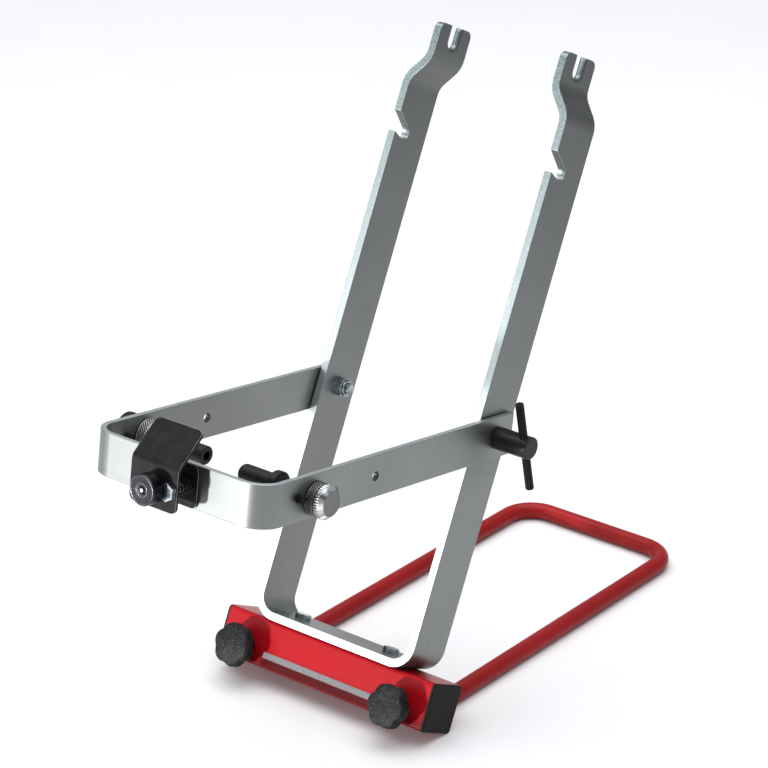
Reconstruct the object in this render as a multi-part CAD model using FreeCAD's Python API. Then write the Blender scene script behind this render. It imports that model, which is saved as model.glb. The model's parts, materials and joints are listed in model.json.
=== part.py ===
import FreeCAD, Part
import math
import os

from FreeCAD import Placement, Rotation, Vector

# Bench stand for truing bicycle wheels, in millimetres.
#
# A square beam lies across the bench with a U-shaped foot tube behind it. An aluminium fork stands on
# the beam and holds the hub axle; a second, wider U of flat bar (the arm) pivots on the fork and carries
# two side feelers and one radial feeler for the rim.
#
# Three frames are used:
#   bench  +X right, +Y back, +Z up, bench top at Z = 0
#   stand  the beam and fork's own frame, leaning back; origin on the beam's top front edge, mid-length
#   arm    origin on the pivot line; +Y runs along the arm to its rear, +Z across its bar, upwards

X = Vector(1, 0, 0)
Y = Vector(0, 1, 0)
Z = Vector(0, 0, 1)

# ---------------------------------------------------------------- driving dimensions

LEAN = 26.0                    # degrees that beam and fork lean back from upright
ARM_PITCH = 17.25              # degrees that the arm drops from square to the fork, at rest

BEAM_SIDE = 35.0
BEAM_LENGTH = 183.0
BEAM_WALL = 2.0
BEAM_CORNER = 3.0
CAP_FLANGE = 2.0
CAP_PLUG = 10.0

REAR_HUB_GAP = 130.0           # between the fork's legs
FRONT_HUB_GAP = 102.0          # between the fork's tips
FORK_WIDTH = 38.0
FORK_THICKNESS = 6.0
FORK_FRONT = -2.5              # front edge of the fork's bar, just proud of the beam's front face
FORK_HEIGHT = 440.0
FORK_CORNER = 15.0             # bend radius at mid-thickness, at the bottom
JOGGLE_LOW = 397.0
JOGGLE_HIGH = 414.0
JOGGLE_BEND = 16.0
TINE_CORNER = 5.0
AXLE_RADIUS = 5.0              # slots and hooks take axles up to 10 mm
SLOT_SEAT_HEIGHT = 429.0
HOOK_SEAT_HEIGHT = 358.2
HOOK_SEAT_DEPTH = 11.5         # from the bar's front edge
HOOK_MOUTH_TOP = 372.5
HOOK_MOUTH_BOTTOM = 357.5

PIVOT_HEIGHT = 172.5
ARM_WIDTH = 30.0
ARM_THICKNESS = 4.0
ARM_REACH = 249.0              # pivot line to the front face of the arm's front bar
ARM_TAIL = 17.0
ARM_CORNER = 17.0
PIVOT_WASHER_GAP = 0.8
SPARE_HOLE_REACH = 135.0
SPARE_HOLE_RADIUS = 3.3
FEELERS = {-1: (196.0, 0.0), 1: (197.0, -2.0)}   # each side feeler's axis: reach, and rise above mid-bar
PIN = (214.5, 1.5)             # the small pins beside them, likewise
PIN_RADIUS = 3.0

FOOT_RADIUS = 6.35
FOOT_WALL = 1.2
FOOT_BEND = 24.0               # rear corners
KNEE_BEND = 20.0               # where each leg comes down to the bench
FOOT_HALF_SPACING = 70.0
FOOT_DEPTH = 328.0             # bench distance from the beam's top front edge to the rear tube's axis
CLAMP_DROP = 24.0              # star knob axis below the beam's top face

M8_RADIUS = 4.0
M6_RADIUS = 3.0
M5_RADIUS = 2.5
RUNNING = 0.08                 # radial clearance of a shaft that turns or slides in a hole
LOOSE = 0.2                    # radial clearance of a plain bolt hole
EDGE_ROUND = 0.5

KNOB_RADIUS = 15.8
KNOB_LOBES = 6
KNOB_SCALLOP = 7.0
KNOB_BITE = 1.8                # depth of the valleys between lobes
KNOB_TURN = {-1: 50.0, 1: 0.0}  # degrees each knob happens to be turned
KNOB_HUB_RADIUS = 8.5
KNOB_HUB = 9.3
KNOB_HEAD = 9.5
STUD_REACH = 15.0              # star knob stud, past the beam's front face

PIVOT_WASHER = 1.6
HANDLE_RADIUS = 8.0
HANDLE_LENGTH = 29.0
CROSS_BAR_RADIUS = 3.0
CROSS_BAR_LENGTH = 70.0
CROSS_BAR_INSET = 5.7          # cross bar axis, in from the handle's end face
HANDLE_TURN = 37.5             # degrees that the cross bar leans forward of the fork's legs

RING_RADIUS = 11.6
SLEEVE_RADIUS = 6.5

GAUGE_CENTRE = 2.7             # radial gauge's plates, off the middle of the arm
GAUGE_SCREW = 4.5              # its centre stud
GAUGE_RAISE = 1.0              # and above the middle of the bar
PLATE_THICKNESS = 2.0
PLATE_WIDTH = 40.0
PLATE_CORNER = 4.5
FRONT_PLATE_REACH = 270.5      # front face of the front plate
RADIAL_KNOB = 13.5             # knob and hub together, in front of the plate
RADIAL_KNOB_HEAD = 9.0         # the rest is a hub that clears the guide bolt's head
GUIDE_BOLT = 16.5              # its spring guide bolt

# places along X that follow from the sizes above
LEG_OUTSIDE = REAR_HUB_GAP / 2 + FORK_THICKNESS
ARM_INSIDE = LEG_OUTSIDE + PIVOT_WASHER_GAP
ARM_OUTSIDE = ARM_INSIDE + ARM_THICKNESS
HANDLE_START = ARM_OUTSIDE + 0.1
HANDLE_END = HANDLE_START + HANDLE_LENGTH
LEFT_DISC = (-90.5, -84.5)
LEFT_LOCK = (-ARM_INSIDE + 0.6, -ARM_INSIDE + 8.6, -57.9)   # ring, then band
LEFT_SLEEVE = (-57.5, -18.0)
RIGHT_SLEEVE = (13.5, 47.5)
RIGHT_KNOB = (ARM_OUTSIDE + 0.6, ARM_OUTSIDE + 6.6, ARM_OUTSIDE + 14.0)   # ring, then cap
RIGHT_FLANGE = 6.0
SPINDLE_GRIP = 12.0            # spindle length inside a sleeve

# ---------------------------------------------------------------- frames

BEAM_TOP = BEAM_CORNER + (BEAM_SIDE - BEAM_CORNER) * (
    math.cos(math.radians(LEAN)) + math.sin(math.radians(LEAN))
)
FORK_MID = FORK_FRONT + FORK_WIDTH / 2
BENCH = Placement()
STAND = Placement(Vector(0, 0, BEAM_TOP), Rotation(X, -LEAN))
ARM = STAND.multiply(Placement(Vector(0, FORK_MID, PIVOT_HEIGHT), Rotation(X, ARM_PITCH)))


# ---------------------------------------------------------------- building blocks

def rod(start, direction, radius, length):
    return Part.makeCylinder(radius, length, start, direction)


def ring(start, direction, outer, inner, length):
    return rod(start, direction, outer, length).cut(rod(start, direction, inner, length))


def hexagon(start, direction, across_flats, length):
    """Hexagonal prism from start along direction, its corner circles chamfered by a cone."""
    corner = across_flats / math.sqrt(3)
    turn = Rotation(Z, direction)
    points = [
        start + turn.multVec(Vector(corner * math.cos(a), corner * math.sin(a), 0))
        for a in [math.radians(60 * i + 30) for i in range(7)]
    ]
    prism = Part.Face(Part.makePolygon(points)).extrude(direction * length)
    slope = corner - across_flats / 2
    cone = Part.makeCone(corner + length, across_flats / 2 + slope / 3, length + slope / 3, start, direction)
    return prism.common(cone)


def rounded_bar(x0, x1, y0, y1, z0, z1, radius):
    """Box whose four edges along X are rounded."""
    box = Part.makeBox(x1 - x0, y1 - y0, z1 - z0, Vector(x0, y0, z0))
    long_edges = [e for e in box.Edges if abs(e.tangentAt(e.FirstParameter).x) > 0.9]
    return box.makeFillet(radius, long_edges)


def round_rims(shape, radius, test):
    """Round the circular edges of shape whose centre passes the test."""
    rims = [e for e in shape.Edges if isinstance(e.Curve, Part.Circle) and test(e)]
    return shape.makeFillet(radius, rims)


class Corner:
    """One rounded corner of a path: its tangent points, arc centre and turn."""

    def __init__(self, before, vertex, after, radius):
        self.arrive = (vertex - before).normalize()
        self.leave = (after - vertex).normalize()
        self.turn = self.arrive.getAngle(self.leave)
        reach = radius * math.tan(self.turn / 2)
        self.start = vertex - self.arrive * reach
        self.end = vertex + self.leave * reach
        self.axis = self.arrive.cross(self.leave).normalize()
        self.centre = self.start + self.axis.cross(self.arrive) * radius
        self.outward = (vertex - self.centre).normalize()
        self.radius = radius


def corners(points, radii):
    return [Corner(a, b, c, r) for a, b, c, r in zip(points, points[1:], points[2:], radii)]


def shifted_path(points, radii, normal, shift):
    """Edges of a path with rounded corners, moved sideways in its plane by shift."""
    edges = []
    side = normal.cross((points[1] - points[0]).normalize())
    here = points[0] + side * shift
    for corner in corners(points, radii):
        sign = 1 if corner.axis.dot(normal) > 0 else -1
        start = corner.start + normal.cross(corner.arrive) * shift
        middle = corner.centre + corner.outward * (corner.radius - sign * shift)
        end = corner.end + normal.cross(corner.leave) * shift
        edges.append(Part.makeLine(here, start))
        edges.append(Part.Arc(start, middle, end).toShape())
        here = end
    last = (points[-1] - points[-2]).normalize()
    edges.append(Part.makeLine(here, points[-1] + normal.cross(last) * shift))
    return edges


def bent_strip(points, radii, normal, thickness, width, end_corner, edge_round):
    """Flat bar bent along a path in the plane of normal, with rounded end corners and softened long edges."""
    left = shifted_path(points, radii, normal, thickness / 2)
    right = shifted_path(points, radii, normal, -thickness / 2)
    caps = [
        Part.makeLine(left[0].Vertexes[0].Point, right[0].Vertexes[0].Point),
        Part.makeLine(left[-1].Vertexes[-1].Point, right[-1].Vertexes[-1].Point),
    ]
    outline = Part.Wire(Part.__sortEdges__(left + right + caps))
    strip = Part.Face(outline).extrude(normal * width)
    ends = [p + normal * rise for p in (points[0], points[-1]) for rise in (0, width)]
    end_edges = [e for e in strip.Edges if min(e.CenterOfMass.distanceToPoint(end) for end in ends) < 0.1]
    if end_corner:
        strip = strip.makeFillet(end_corner, end_edges)
    if not edge_round:
        return strip
    base = points[0].dot(normal)
    flanks = [
        e for e in strip.Edges
        if min(abs(e.CenterOfMass.dot(normal) - base - rise) for rise in (0, width)) < 1e-4
        and e.Length > thickness + 0.01
    ]
    return strip.makeFillet(edge_round, flanks)


def bent_rod(points, radii, radius):
    """Solid round rod along a path of straight runs and tangent arcs."""
    solid = None
    here = points[0]
    for corner in corners(points, radii) + [None]:
        end = corner.start if corner else points[-1]
        run = rod(here, (end - here).normalize(), radius, (end - here).Length)
        solid = solid.fuse(run) if solid else run
        if corner:
            circle = Part.Wire(Part.makeCircle(radius, corner.start, corner.arrive))
            elbow = Part.Face(circle).revolve(corner.centre, corner.axis, math.degrees(corner.turn))
            solid = solid.fuse(elbow)
            here = corner.end
    return solid.removeSplitter()


def tangent_point(outside, centre, radius, side):
    """Where the line from a point outside a circle, in a plane of constant X, touches the circle."""
    reach = centre - outside
    spread = math.asin(radius / reach.Length)
    along = Rotation(X, math.degrees(side * spread)).multVec(reach).normalize()
    return outside + along * (reach.Length * math.cos(spread))


# ---------------------------------------------------------------- base beam and foot

def base_beam():
    half = BEAM_LENGTH / 2
    outer = rounded_bar(-half, half, 0, BEAM_SIDE, -BEAM_SIDE, 0, BEAM_CORNER)
    inside = BEAM_SIDE - BEAM_WALL
    hollow = rounded_bar(-half - 1, half + 1, BEAM_WALL, inside, -inside, -BEAM_WALL, BEAM_CORNER - BEAM_WALL)
    beam = outer.cut(hollow)
    for side in (-1, 1):
        axis = Vector(side * FOOT_HALF_SPACING, 0, -CLAMP_DROP)
        beam = beam.cut(rod(axis - Y, Y, M8_RADIUS + RUNNING, BEAM_WALL + 2))
        beam = beam.cut(rod(axis + Y * (inside - 1), Y, FOOT_RADIUS + RUNNING, BEAM_WALL + 2))
        beam = beam.cut(rod(fork_bolt_seat(side) - Z * (BEAM_WALL + 1), Z, M6_RADIUS + LOOSE, BEAM_WALL + 2))
    return beam


def end_cap(side):
    half = BEAM_LENGTH / 2
    skin = 0.05
    inside = BEAM_SIDE - BEAM_WALL - skin
    low, high = sorted((side * half, side * (half + CAP_FLANGE)))
    flange = rounded_bar(low, high, 0, BEAM_SIDE, -BEAM_SIDE, 0, BEAM_CORNER)
    rim = [e for e in flange.Edges if all(abs(v.X - side * (half + CAP_FLANGE)) < 1e-6 for v in e.Vertexes)]
    flange = flange.makeFillet(1.0, rim)
    low, high = sorted((side * half, side * (half - CAP_PLUG)))
    border = BEAM_WALL + skin
    plug = rounded_bar(low, high, border, inside, -inside, -border, 1.0)
    pocket = Part.makeBox(CAP_PLUG, inside - border - 5, inside - border - 5)
    pocket.translate(Vector(low, border + 2.5, -inside + 2.5))
    return flange.fuse(plug.cut(pocket)).removeSplitter()


def stripe_decal():
    return Part.makeBox(103, 0.15, 10, Vector(-53, -0.15, -33))


def foot_path():
    """Axis of the foot tube in the bench frame, from one leg end to the other."""
    leg_end = STAND.multVec(Vector(FOOT_HALF_SPACING, BEAM_WALL + 1.5, -CLAMP_DROP))
    along = STAND.Rotation.multVec(Y)
    knee = leg_end + along * ((FOOT_RADIUS - leg_end.z) / along.z)
    right = [leg_end, knee, Vector(FOOT_HALF_SPACING, FOOT_DEPTH, FOOT_RADIUS)]
    left = [Vector(-p.x, p.y, p.z) for p in reversed(right)]
    return right + left


def foot_tube():
    path = foot_path()
    bends = [KNEE_BEND, FOOT_BEND, FOOT_BEND, KNEE_BEND]
    tube = bent_rod(path, bends, FOOT_RADIUS)
    return tube.cut(bent_rod(path, bends, FOOT_RADIUS - FOOT_WALL))


def foot_inserts():
    plugs = []
    for side in (-1, 1):
        end = Vector(side * FOOT_HALF_SPACING, BEAM_WALL + 1.5, -CLAMP_DROP)
        plugs.append(ring(end, Y, FOOT_RADIUS - FOOT_WALL - 0.02, M8_RADIUS + RUNNING, 15))
    return Part.makeCompound(plugs)


def clamp_stud(side):
    start = Vector(side * FOOT_HALF_SPACING, -KNOB_HUB - KNOB_HEAD / 2, -CLAMP_DROP)
    stud = rod(start, Y, M8_RADIUS, STUD_REACH - start.y)
    return round_rims(stud, 0.8, lambda e: e.Curve.Center.y > 0)


def star_knob(side):
    """Lobed knob on a round hub; the hub's face bears on the beam."""
    seat_gap = 0.2
    front = Vector(side * FOOT_HALF_SPACING, -KNOB_HUB - KNOB_HEAD, -CLAMP_DROP)
    head = rod(front, Y, KNOB_RADIUS, KNOB_HEAD)
    head = round_rims(head, 2.0, lambda e: abs(e.Curve.Center.y - front.y) < 0.1)
    for lobe in range(KNOB_LOBES):
        angle = math.radians(360 / KNOB_LOBES * (lobe + 0.5) + KNOB_TURN[side])
        bite = Vector(math.cos(angle), 0, math.sin(angle)) * (KNOB_RADIUS + KNOB_SCALLOP - KNOB_BITE)
        head = head.cut(rod(front + bite - Y, Y, KNOB_SCALLOP, KNOB_HEAD + 2))
    hub = rod(front + Y * KNOB_HEAD, Y, KNOB_HUB_RADIUS, KNOB_HUB - seat_gap)
    bore = rod(front + Y * (KNOB_HEAD / 2), Y, M8_RADIUS + RUNNING, KNOB_HEAD + KNOB_HUB)
    return head.fuse(hub).cut(bore)


# ---------------------------------------------------------------- fork

def fork_bolt_seat(side):
    return Vector(side * 40, FORK_MID, 0)


def fork():
    leg = REAR_HUB_GAP / 2 + FORK_THICKNESS / 2
    tip = FRONT_HUB_GAP / 2 + FORK_THICKNESS / 2
    half = [(tip, FORK_HEIGHT), (tip, JOGGLE_HIGH), (leg, JOGGLE_LOW), (leg, FORK_THICKNESS / 2)]
    right = [Vector(x, FORK_FRONT, z) for x, z in half]
    left = [Vector(-p.x, p.y, p.z) for p in reversed(right)]
    radii = [JOGGLE_BEND, JOGGLE_BEND, FORK_CORNER, FORK_CORNER, JOGGLE_BEND, JOGGLE_BEND]
    bar = bent_strip(right + left, radii, Y, FORK_THICKNESS, FORK_WIDTH, TINE_CORNER, EDGE_ROUND)

    across = Vector(-leg - FORK_THICKNESS, 0, 0)
    span = 2 * (leg + FORK_THICKNESS)
    seat = across + Vector(0, FORK_MID, SLOT_SEAT_HEIGHT)
    slot = rod(seat, X, AXLE_RADIUS, span)
    slot = slot.fuse(Part.makeBox(span, 2 * AXLE_RADIUS, 20, seat - Y * AXLE_RADIUS))
    bar = bar.cut(slot)
    mouth = [
        e for e in bar.Edges
        if all(abs(v.Z - FORK_HEIGHT) < 0.01 for v in e.Vertexes)
        and abs(abs(e.CenterOfMass.y - FORK_MID) - AXLE_RADIUS) < 0.01
    ]
    bar = bar.makeFillet(2.5, mouth)

    hook_seat = Vector(across.x, FORK_FRONT + HOOK_SEAT_DEPTH, HOOK_SEAT_HEIGHT)
    mouth_top = Vector(across.x, FORK_FRONT, HOOK_MOUTH_TOP)
    mouth_bottom = Vector(across.x, FORK_FRONT, HOOK_MOUTH_BOTTOM)
    upper = tangent_point(mouth_top, hook_seat, AXLE_RADIUS, 1)
    lower = tangent_point(mouth_bottom, hook_seat, AXLE_RADIUS, -1)
    before_top = mouth_top + (mouth_top - upper).normalize() * 5
    before_bottom = mouth_bottom + (mouth_bottom - lower).normalize() * 5
    outline = [before_top, upper, hook_seat, lower, before_bottom, before_top]
    notch = Part.Face(Part.makePolygon(outline)).extrude(X * span)
    bar = bar.cut(notch.fuse(rod(hook_seat, X, AXLE_RADIUS, span)))

    bar = bar.cut(rod(across + Vector(0, FORK_MID, PIVOT_HEIGHT), X, M8_RADIUS + RUNNING, span))
    for side in (-1, 1):
        bar = bar.cut(rod(fork_bolt_seat(side) - Z, Z, M6_RADIUS + LOOSE, FORK_THICKNESS + 2))
    return bar


def fork_bolts():
    bolts = []
    for side in (-1, 1):
        seat = fork_bolt_seat(side) + Z * FORK_THICKNESS
        shank = rod(seat - Z * 15, Z, M6_RADIUS, 15)
        bolts.append(hexagon(seat, Z, 10, 4).fuse(shank))
    return Part.makeCompound(bolts)


def fork_nuts():
    nuts = []
    for side in (-1, 1):
        seat = fork_bolt_seat(side) - Z * BEAM_WALL
        nuts.append(hexagon(seat, -Z, 10, 5).cut(rod(seat, -Z, M6_RADIUS + 0.02, 5)))
    return Part.makeCompound(nuts)


# ---------------------------------------------------------------- pivot hardware (stand frame)

def pivot_at(x):
    return Vector(x, FORK_MID, PIVOT_HEIGHT)


def friction_washers():
    rings = []
    for side in (-1, 1):
        start = pivot_at(side * (LEG_OUTSIDE + 0.05))
        rings.append(ring(start, X * side, 11, M8_RADIUS + LOOSE, PIVOT_WASHER_GAP - 0.1))
    return Part.makeCompound(rings)


def pivot_washer():
    return ring(pivot_at(-ARM_OUTSIDE - 0.05), -X, 8, M8_RADIUS + LOOSE, PIVOT_WASHER)


def pivot_bolt():
    seat = pivot_at(-ARM_OUTSIDE - 0.05 - PIVOT_WASHER)
    end = -REAR_HUB_GAP / 2 + 10
    shank = rod(seat, X, M8_RADIUS, end - seat.x)
    shank = round_rims(shank, 0.8, lambda e: abs(e.Curve.Center.x - end) < 0.1)
    return hexagon(seat, -X, 13, 5.3).fuse(shank)


def lock_nut():
    seat = pivot_at(-REAR_HUB_GAP / 2)
    collar = rod(seat + X * 6, X, 6.0, 2.2)
    collar = round_rims(collar, 0.8, lambda e: abs(e.Curve.Center.x - seat.x - 8.2) < 0.1)
    nut = hexagon(seat, X, 13, 6).fuse(collar)
    return nut.cut(rod(seat, X, M8_RADIUS + 0.02, 9))


def clamp_nut():
    seat = pivot_at(REAR_HUB_GAP / 2)
    return hexagon(seat, -X, 13, 6.5).cut(rod(seat, -X, M8_RADIUS + RUNNING, 7))


def handle_stud():
    stud = rod(pivot_at(REAR_HUB_GAP / 2 - 8), X, M8_RADIUS, HANDLE_START + 8 - REAR_HUB_GAP / 2 + 8)
    return round_rims(stud, 0.8, lambda e: True)


def cross_bar_direction():
    return Rotation(X, HANDLE_TURN).multVec(Z)


def handle_barrel():
    barrel = rod(pivot_at(HANDLE_START), X, HANDLE_RADIUS, HANDLE_LENGTH)
    barrel = round_rims(barrel, 0.8, lambda e: True)
    barrel = barrel.cut(rod(pivot_at(HANDLE_START - 1), X, M8_RADIUS + RUNNING, 9.5))
    cross = pivot_at(HANDLE_END - CROSS_BAR_INSET) - cross_bar_direction() * 10
    return barrel.cut(rod(cross, cross_bar_direction(), CROSS_BAR_RADIUS + 0.02, 20))


def cross_bar():
    """Plain rod pressed through the barrel."""
    along = cross_bar_direction()
    start = pivot_at(HANDLE_END - CROSS_BAR_INSET) - along * (CROSS_BAR_LENGTH / 2)
    bar = rod(start, along, CROSS_BAR_RADIUS, CROSS_BAR_LENGTH)
    return round_rims(bar, 0.6, lambda e: True)


# ---------------------------------------------------------------- arm (arm frame)

def arm_point(x, reach, rise=0.0):
    return Vector(x, -reach, rise)


def arm():
    side = ARM_INSIDE + ARM_THICKNESS / 2
    front = ARM_REACH - ARM_THICKNESS / 2
    low = -ARM_WIDTH / 2
    points = [
        arm_point(side, -ARM_TAIL, low),
        arm_point(side, front, low),
        arm_point(-side, front, low),
        arm_point(-side, -ARM_TAIL, low),
    ]
    bar = bent_strip(points, [ARM_CORNER, ARM_CORNER], Z, ARM_THICKNESS, ARM_WIDTH, 0, EDGE_ROUND)
    for side in (-1, 1):
        holes = [
            ((0, 0), M8_RADIUS + RUNNING),
            ((SPARE_HOLE_REACH, 0), SPARE_HOLE_RADIUS),
            (FEELERS[side], M8_RADIUS + RUNNING),
            (PIN, PIN_RADIUS + 0.02),
        ]
        for (reach, rise), radius in holes:
            start = arm_point(side * (ARM_INSIDE - 1), reach, rise)
            bar = bar.cut(rod(start, X * side, radius, ARM_THICKNESS + 2))
    for x, radius in ((GAUGE_SCREW, M5_RADIUS + LOOSE), (GUIDE_BOLT, M6_RADIUS + RUNNING)):
        bar = bar.cut(rod(gauge_point(x, ARM_REACH + 1), Y, radius, ARM_THICKNESS + 2))
    return bar


def gauge_pins():
    pins = []
    for wall in (-ARM_OUTSIDE, ARM_INSIDE):
        pin = rod(arm_point(wall, *PIN), X, PIN_RADIUS, ARM_THICKNESS + 5)
        pins.append(round_rims(pin, 0.5, lambda e: e.Curve.Center.x > wall + 5))
    return Part.makeCompound(pins)


# ---------------------------------------------------------------- side feelers (arm frame)

def feeler_at(x, side):
    return arm_point(x, *FEELERS[side])


def banded_ring(x0, x1, side):
    """Plain round ring with softened rims; its knurl is surface finish."""
    body = rod(feeler_at(x0, side), X, RING_RADIUS, x1 - x0)
    body = round_rims(body, 0.6, lambda e: True)
    return body.cut(rod(feeler_at(x0 - 1, side), X, M8_RADIUS + RUNNING, x1 - x0 + 2))


def left_spindle():
    start = LEFT_DISC[0] + 2
    return rod(feeler_at(start, -1), X, M8_RADIUS, LEFT_SLEEVE[0] + SPINDLE_GRIP - start)


def left_disc():
    disc = rod(feeler_at(LEFT_DISC[0], -1), X, 11.2, LEFT_DISC[1] - LEFT_DISC[0])
    disc = round_rims(disc, 1.2, lambda e: True)
    return disc.cut(rod(feeler_at(LEFT_DISC[0] + 1.95, -1), X, M8_RADIUS + RUNNING, 6))


def left_lock_ring():
    return banded_ring(LEFT_LOCK[0], LEFT_LOCK[1], -1)


def left_lock_band():
    return banded_ring(LEFT_LOCK[1], LEFT_LOCK[2], -1)


def left_sleeve():
    """Feeler sleeve; its tip has a hexagon socket."""
    start, tip = (feeler_at(x, -1) for x in LEFT_SLEEVE)
    sleeve = rod(start, X, SLEEVE_RADIUS, tip.x - start.x)
    sleeve = round_rims(sleeve, 0.8, lambda e: True)
    bore = rod(start - X, X, M8_RADIUS + RUNNING, SPINDLE_GRIP + 1.1)
    flat = 3.2
    points = [
        tip + Vector(0, math.cos(a), math.sin(a)) * (flat / math.cos(math.pi / 6))
        for a in [math.radians(60 * i) for i in range(7)]
    ]
    socket = Part.Face(Part.makePolygon(points)).extrude(X * -9)
    return sleeve.cut(bore).cut(socket)


def right_spindle():
    start = RIGHT_SLEEVE[1] - SPINDLE_GRIP
    return rod(feeler_at(start, 1), X, M8_RADIUS, RIGHT_KNOB[1] + 3 - start)


def right_feeler():
    """Round-nosed feeler with a flange behind it."""
    tip, back = (feeler_at(x, 1) for x in RIGHT_SLEEVE)
    sleeve = rod(tip, X, SLEEVE_RADIUS, back.x - tip.x)
    sleeve = round_rims(sleeve, 4.0, lambda e: abs(e.Curve.Center.x - tip.x) < 0.1)
    flange = rod(back - X * RIGHT_FLANGE, X, 9.5, RIGHT_FLANGE)
    flange = round_rims(flange, 1.2, lambda e: True)
    bore = rod(back - X * (SPINDLE_GRIP + 0.1), X, M8_RADIUS + RUNNING, SPINDLE_GRIP + 1)
    return sleeve.fuse(flange).cut(bore)


def right_knob_ring():
    return banded_ring(RIGHT_KNOB[0], RIGHT_KNOB[1], 1)


def right_knob_cap():
    """Bright end of the knob: a neck, a knurled band and a chamfer to a flat face."""
    start, end = (feeler_at(x, 1) for x in RIGHT_KNOB[1:])
    neck = rod(start, X, RING_RADIUS - 1.2, 1)
    band = rod(start + X * 0.9, X, RING_RADIUS, end.x - start.x - 0.9)
    rims = [e for e in band.Edges if isinstance(e.Curve, Part.Circle) and abs(e.Curve.Center.x - end.x) < 0.1]
    band = band.makeChamfer(3.0, rims)
    return neck.fuse(band).cut(rod(start - X, X, M8_RADIUS + RUNNING, 4.5))


# ---------------------------------------------------------------- radial gauge (arm frame)

def gauge_point(x, reach):
    return arm_point(x, reach, GAUGE_RAISE)


def plate_holes(plate, reach):
    for x, radius in ((GAUGE_SCREW, M5_RADIUS + LOOSE), (GUIDE_BOLT, M6_RADIUS + RUNNING)):
        plate = plate.cut(rod(gauge_point(x, reach), Y, radius, PLATE_THICKNESS + 2))
    return plate


def back_plate():
    low, high = -14.0, 15.0
    left = GAUGE_CENTRE - PLATE_WIDTH / 2
    corner = arm_point(left, ARM_REACH + PLATE_THICKNESS, low)
    plate = Part.makeBox(PLATE_WIDTH, PLATE_THICKNESS, high - low, corner)
    corner_edges = [e for e in plate.Edges if abs(e.tangentAt(e.FirstParameter).y) > 0.9]
    plate = plate.makeFillet(PLATE_CORNER, corner_edges)
    return plate_holes(plate, ARM_REACH + PLATE_THICKNESS + 1)


def front_plate():
    """Bent feeler plate: an upright lower leaf and an upper leaf that leans over the bar."""
    middle = FRONT_PLATE_REACH - PLATE_THICKNESS / 2
    left = GAUGE_CENTRE - PLATE_WIDTH / 2
    points = [
        arm_point(left, middle, -13.5),
        arm_point(left, middle, 16.0),
        arm_point(left, middle - 21.5, 37.5),
    ]
    plate = bent_strip(points, [5.0], X, PLATE_THICKNESS, PLATE_WIDTH, PLATE_CORNER, 0)
    return plate_holes(plate, FRONT_PLATE_REACH + 1)


def radial_stud():
    length = RADIAL_KNOB + FRONT_PLATE_REACH - ARM_REACH + 11
    stud = rod(gauge_point(GAUGE_SCREW, FRONT_PLATE_REACH + RADIAL_KNOB), Y, M5_RADIUS, length)
    return round_rims(stud, 0.5, lambda e: True)


def guide_bolt():
    """Bolt held to the front plate; it slides through the arm's bar."""
    seat = gauge_point(GUIDE_BOLT, FRONT_PLATE_REACH)
    shank = rod(seat, Y, M6_RADIUS, FRONT_PLATE_REACH - ARM_REACH + 11)
    return hexagon(seat, -Y, 11, 4).fuse(shank)


def gauge_nut(x, bore, across_flats):
    seat = gauge_point(x, ARM_REACH - ARM_THICKNESS - 0.05)
    return hexagon(seat, Y, across_flats, 4.5).cut(rod(seat, Y, bore, 5))


def radial_knob():
    front = gauge_point(GAUGE_SCREW, FRONT_PLATE_REACH + RADIAL_KNOB)
    head = rod(front, Y, 10.4, RADIAL_KNOB_HEAD)
    head = round_rims(head, 0.8, lambda e: True)
    hub = rod(front + Y * RADIAL_KNOB_HEAD, Y, 5, RADIAL_KNOB - RADIAL_KNOB_HEAD - 0.05)
    return head.fuse(hub).cut(rod(front - Y, Y, M5_RADIUS + RUNNING, RADIAL_KNOB + 2))


def radial_spring():
    """Envelope of the coil spring on the guide bolt."""
    start = gauge_point(GUIDE_BOLT, FRONT_PLATE_REACH - PLATE_THICKNESS - 0.05)
    length = FRONT_PLATE_REACH - ARM_REACH - 2 * PLATE_THICKNESS - 0.1
    return ring(start, Y, 4.7, 3.4, length)


# ---------------------------------------------------------------- assembly

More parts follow.
